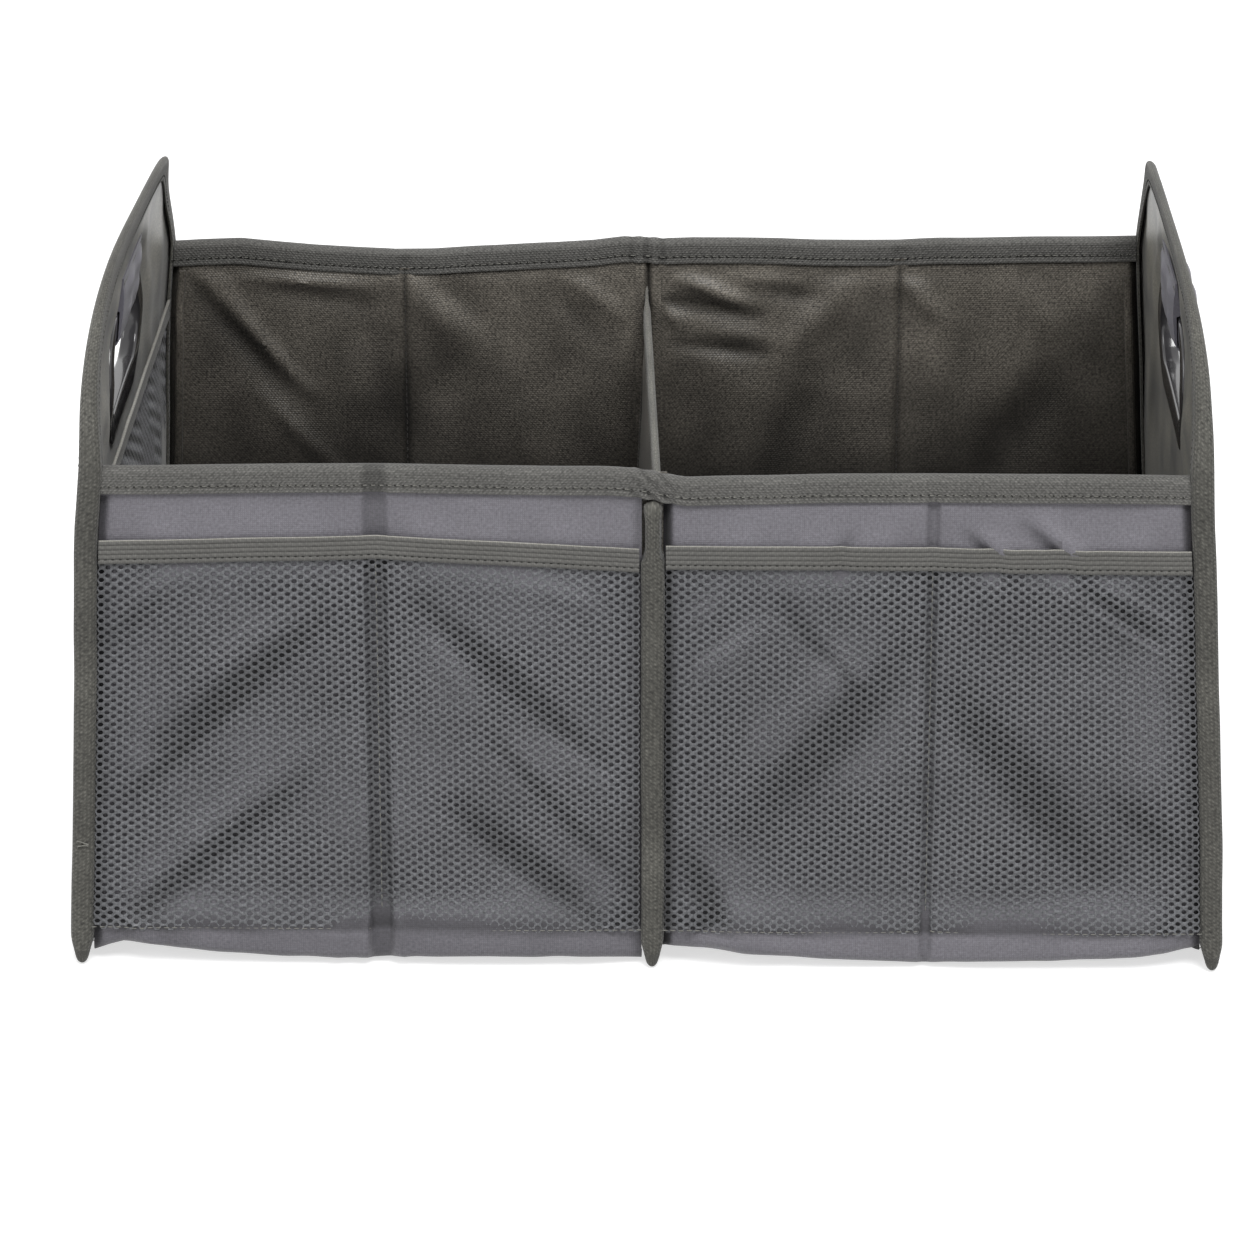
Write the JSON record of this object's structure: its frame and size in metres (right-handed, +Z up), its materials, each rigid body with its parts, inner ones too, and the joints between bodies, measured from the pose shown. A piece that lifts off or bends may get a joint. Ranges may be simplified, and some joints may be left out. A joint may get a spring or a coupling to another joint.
{
  "type": "folding boot basket with two bays",
  "caption": "Soft-sided storage basket for a car boot: bays between stiff uprights, net pockets on the front, arched ends with hand holes; it folds flat",
  "frame": {"origin": "on the surface that the basket stands on, under the middle of its opened-out box", "axes": "+X towards the right end panel along the longest side, +Y away from the front wall with the net pockets, +Z up"},
  "size_m": [0.5378, 0.37, 0.325],
  "materials": {
    "outer_cloth": "woven polyester, lavender grey",
    "lining_cloth": "woven polyester lining, brown charcoal",
    "end_lining_cloth": "woven polyester lining, olive grey with a slight sheen",
    "binding_tape": "ribbed binding tape, olive grey",
    "elastic_band": "ribbed woven elastic, mid grey",
    "pocket_net": "knitted polyester net, mid grey",
    "stiffener_board": "plain stiffener board, hidden inside the cloth",
    "grip_ring": "moulded plastic, dark grey, glossy",
    "grip_sleeve": "padded woven polyester, lavender grey",
    "floor_cloth": "woven polyester, dark lavender grey"
  },
  "bodies": {
    "divider": {"divider_board": "stiffener_board", "divider_left_cover": "lining_cloth", "divider_right_cover": "lining_cloth", "divider_binding": "binding_tape", "left_floor": "floor_cloth", "right_floor": "floor_cloth"},
    "left_front_inner": {"left_front_inner_board": "stiffener_board", "left_front_inner_cover": "outer_cloth", "left_front_inner_lining": "lining_cloth", "left_front_inner_rim_tape": "binding_tape", "left_front_inner_pocket_band": "elastic_band", "left_front_inner_pocket_net": "pocket_net"},
    "left_front_outer": {"left_front_outer_board": "stiffener_board", "left_front_outer_cover": "outer_cloth", "left_front_outer_lining": "lining_cloth", "left_front_outer_rim_tape": "binding_tape", "left_front_outer_pocket_band": "elastic_band", "left_front_outer_pocket_net": "pocket_net"},
    "left_back_inner": {"left_back_inner_board": "stiffener_board", "left_back_inner_cover": "outer_cloth", "left_back_inner_lining": "lining_cloth", "left_back_inner_rim_tape": "binding_tape"},
    "left_back_outer": {"left_back_outer_board": "stiffener_board", "left_back_outer_cover": "outer_cloth", "left_back_outer_lining": "lining_cloth", "left_back_outer_rim_tape": "binding_tape"},
    "left_end": {"left_end_board": "stiffener_board", "left_end_cover": "outer_cloth", "left_end_lining": "end_lining_cloth", "left_end_binding": "binding_tape", "left_end_grip_ring": "grip_ring", "left_end_grip_sleeve": "grip_sleeve", "left_end_pocket_band": "elastic_band", "left_end_pocket_net": "pocket_net"},
    "right_front_inner": {"right_front_inner_board": "stiffener_board", "right_front_inner_cover": "outer_cloth", "right_front_inner_lining": "lining_cloth", "right_front_inner_rim_tape": "binding_tape", "right_front_inner_pocket_band": "elastic_band", "right_front_inner_pocket_net": "pocket_net"},
    "right_front_outer": {"right_front_outer_board": "stiffener_board", "right_front_outer_cover": "outer_cloth", "right_front_outer_lining": "lining_cloth", "right_front_outer_rim_tape": "binding_tape", "right_front_outer_pocket_band": "elastic_band", "right_front_outer_pocket_net": "pocket_net"},
    "right_back_inner": {"right_back_inner_board": "stiffener_board", "right_back_inner_cover": "outer_cloth", "right_back_inner_lining": "lining_cloth", "right_back_inner_rim_tape": "binding_tape"},
    "right_back_outer": {"right_back_outer_board": "stiffener_board", "right_back_outer_cover": "outer_cloth", "right_back_outer_lining": "lining_cloth", "right_back_outer_rim_tape": "binding_tape"},
    "right_end": {"right_end_board": "stiffener_board", "right_end_cover": "outer_cloth", "right_end_lining": "end_lining_cloth", "right_end_binding": "binding_tape", "right_end_grip_ring": "grip_ring", "right_end_grip_sleeve": "grip_sleeve"}
  },
  "joints": [
    {"name": "left_fold", "type": "hinge", "parent": "divider", "child": "left_front_inner", "pos_m": [-0.00795, -0.1736, 0], "axis": [0, 0, -1], "range_deg": [0, 85], "deforming": ["left_floor"]},
    {"name": "left_front_crease", "type": "hinge", "parent": "left_front_inner", "child": "left_front_outer", "pos_m": [-0.12978, -0.1836, 0], "axis": [0, 0, -1], "range_deg": [-170, 0]},
    {"name": "left_end_turn", "type": "hinge", "parent": "left_front_outer", "child": "left_end", "pos_m": [-0.2516, -0.1736, 0], "axis": [0, 0, -1], "range_deg": [0, 85]},
    {"name": "left_back_hinge", "type": "hinge", "parent": "divider", "child": "left_back_inner", "pos_m": [-0.00795, 0.1736, 0], "axis": [0, 0, -1], "range_deg": [-85, 0]},
    {"name": "left_back_crease", "type": "hinge", "parent": "left_back_inner", "child": "left_back_outer", "pos_m": [-0.12978, 0.1836, 0], "axis": [0, 0, -1], "range_deg": [0, 170]},
    {"name": "right_fold", "type": "hinge", "parent": "divider", "child": "right_front_inner", "pos_m": [0.00795, -0.1736, 0], "axis": [0, 0, 1], "range_deg": [0, 85], "deforming": ["right_floor"]},
    {"name": "right_front_crease", "type": "hinge", "parent": "right_front_inner", "child": "right_front_outer", "pos_m": [0.12978, -0.1836, 0], "axis": [0, 0, 1], "range_deg": [-170, 0]},
    {"name": "right_end_turn", "type": "hinge", "parent": "right_front_outer", "child": "right_end", "pos_m": [0.2516, -0.1736, 0], "axis": [0, 0, 1], "range_deg": [0, 85]},
    {"name": "right_back_hinge", "type": "hinge", "parent": "divider", "child": "right_back_inner", "pos_m": [0.00795, 0.1736, 0], "axis": [0, 0, 1], "range_deg": [-85, 0]},
    {"name": "right_back_crease", "type": "hinge", "parent": "right_back_inner", "child": "right_back_outer", "pos_m": [0.12978, 0.1836, 0], "axis": [0, 0, 1], "range_deg": [0, 170]}
  ],
  "couplings": [
    {"joint": "left_front_crease", "follows": "left_fold", "ratio": -2},
    {"joint": "left_end_turn", "follows": "left_fold", "ratio": 1},
    {"joint": "left_back_hinge", "follows": "left_fold", "ratio": -1},
    {"joint": "left_back_crease", "follows": "left_fold", "ratio": 2},
    {"joint": "right_front_crease", "follows": "right_fold", "ratio": -2},
    {"joint": "right_end_turn", "follows": "right_fold", "ratio": 1},
    {"joint": "right_back_hinge", "follows": "right_fold", "ratio": -1},
    {"joint": "right_back_crease", "follows": "right_fold", "ratio": 2}
  ]
}
